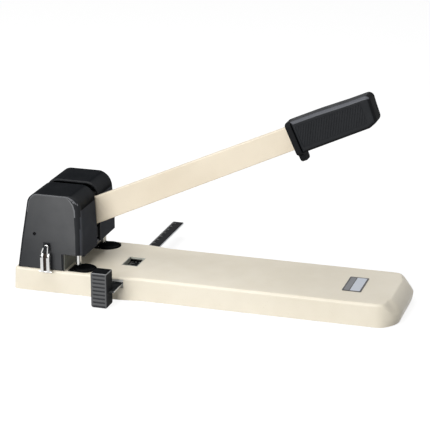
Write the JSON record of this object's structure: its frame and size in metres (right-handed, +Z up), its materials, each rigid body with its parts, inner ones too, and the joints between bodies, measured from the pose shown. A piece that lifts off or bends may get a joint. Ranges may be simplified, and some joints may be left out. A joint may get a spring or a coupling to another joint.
{
  "type": "heavy-duty two-hole punch",
  "caption": "Heavy-duty lever paper punch: long base, two-part head, hollow cutters over turning discs, and a sliding side gauge.",
  "frame": {"origin": "midway between the two cutter axes, on the plane that the feet stand on", "axes": "+X to the right across the machine, with the gauge block on the -X side; -Y to the front, where the lever grip is; +Z up"},
  "size_m": [0.2515, 0.442, 0.2442],
  "materials": {
    "cream_paint": "satin powder coat",
    "cover_paint": "black-grey semi-gloss paint",
    "stop_paint": "dark olive-grey paint",
    "lever_paint": "cream semi-gloss paint",
    "cast_grey": "as cast, dark",
    "steel": "machined",
    "hard_steel": "ground and blackened",
    "bright_steel": "polished",
    "zinc": "zinc plated",
    "bronze": "sintered, oiled",
    "disc_plastic": "matt black",
    "ring_plastic": "matt light grey",
    "grip_plastic": "matt black",
    "gauge_plastic": "matt dark grey",
    "guide_plastic": "natural white",
    "scale_film": "printed black film",
    "plate_film": "bare pale plate",
    "rubber": "matt black"
  },
  "bodies": {
    "base": {"base_shell": "cream_paint", "base_plate": "zinc", "feet": "rubber", "base_screws": "zinc", "anvil_plate": "hard_steel", "support_pillars": "steel", "frame_bolts": "hard_steel", "near_disc_ring": "ring_plastic", "far_disc_ring": "ring_plastic", "head_block": "cast_grey", "guide_plate": "cast_grey", "near_cheek": "cast_grey", "far_cheek": "cast_grey", "cheek_screws": "hard_steel", "back_stop": "stop_paint", "back_stop_screws": "zinc", "near_guide_bush": "bronze", "far_guide_bush": "bronze", "near_guide_rod": "bright_steel", "far_guide_rod": "bright_steel", "top_bridge": "cast_grey", "bridge_screws": "zinc", "pivot_shaft": "bright_steel", "shaft_circlips": "hard_steel", "thrust_washers": "steel", "stop_rod": "steel", "cover_posts": "steel", "near_cover": "cover_paint", "far_cover": "cover_paint", "cover_screws": "hard_steel", "latch_strike": "bright_steel", "latch_bracket": "bright_steel", "latch_pin": "bright_steel", "gauge_guides": "guide_plastic", "gauge_spring": "zinc", "window_bezel": "guide_plastic", "front_plate": "plate_film"},
    "lever": {"lever_bar": "lever_paint", "lever_bush": "bronze", "near_lever_plate": "hard_steel", "far_lever_plate": "hard_steel", "lever_rivets": "steel", "drive_pin": "bright_steel", "grip": "grip_plastic", "grip_collar": "grip_plastic"},
    "crosshead": {"crosshead": "steel", "rod_bushes": "bronze", "near_cutter": "bright_steel", "far_cutter": "bright_steel", "cutter_set_screws": "hard_steel"},
    "near_disc": {"near_disc": "disc_plastic"},
    "far_disc": {"far_disc": "disc_plastic"},
    "gauge": {"gauge_bar": "zinc", "gauge_scale": "scale_film", "gauge_block": "gauge_plastic", "gauge_screws": "zinc"},
    "latch": {"latch_lever": "bright_steel"},
    "hook": {"latch_hook": "bright_steel"}
  },
  "joints": [
    {"name": "lever_swing", "type": "hinge", "parent": "base", "child": "lever", "pos_m": [0, 0.034, 0.0646], "axis": [-1, 0, 0], "range_deg": [0, 28.5]},
    {"name": "crosshead_slide", "type": "slide", "parent": "base", "child": "crosshead", "axis": [0, 0, 1], "range_m": [0, 0.0145]},
    {"name": "near_disc_spin", "type": "hinge", "parent": "base", "child": "near_disc", "pos_m": [-0.04, -0.0074, 0.0245], "axis": [0, 0, 1], "continuous": true},
    {"name": "far_disc_spin", "type": "hinge", "parent": "base", "child": "far_disc", "pos_m": [0.04, -0.0074, 0.0245], "axis": [0, 0, 1], "continuous": true},
    {"name": "gauge_slide", "type": "slide", "parent": "base", "child": "gauge", "axis": [-1, 0, 0], "range_m": [0, 0.078]},
    {"name": "latch_swing", "type": "hinge", "parent": "base", "child": "latch", "pos_m": [-0.0621, 0.0312, 0.0259], "axis": [0, -1, 0], "range_deg": [0, 100]},
    {"name": "latch_hook_swing", "type": "hinge", "parent": "latch", "child": "hook", "pos_m": [-0.0621, 0.0312, 0.0445], "axis": [0, -1, 0], "range_deg": [0, 60]}
  ],
  "couplings": [
    {"joint": "crosshead_slide", "follows": "lever_swing", "m_per_rad": 0.02885}
  ]
}
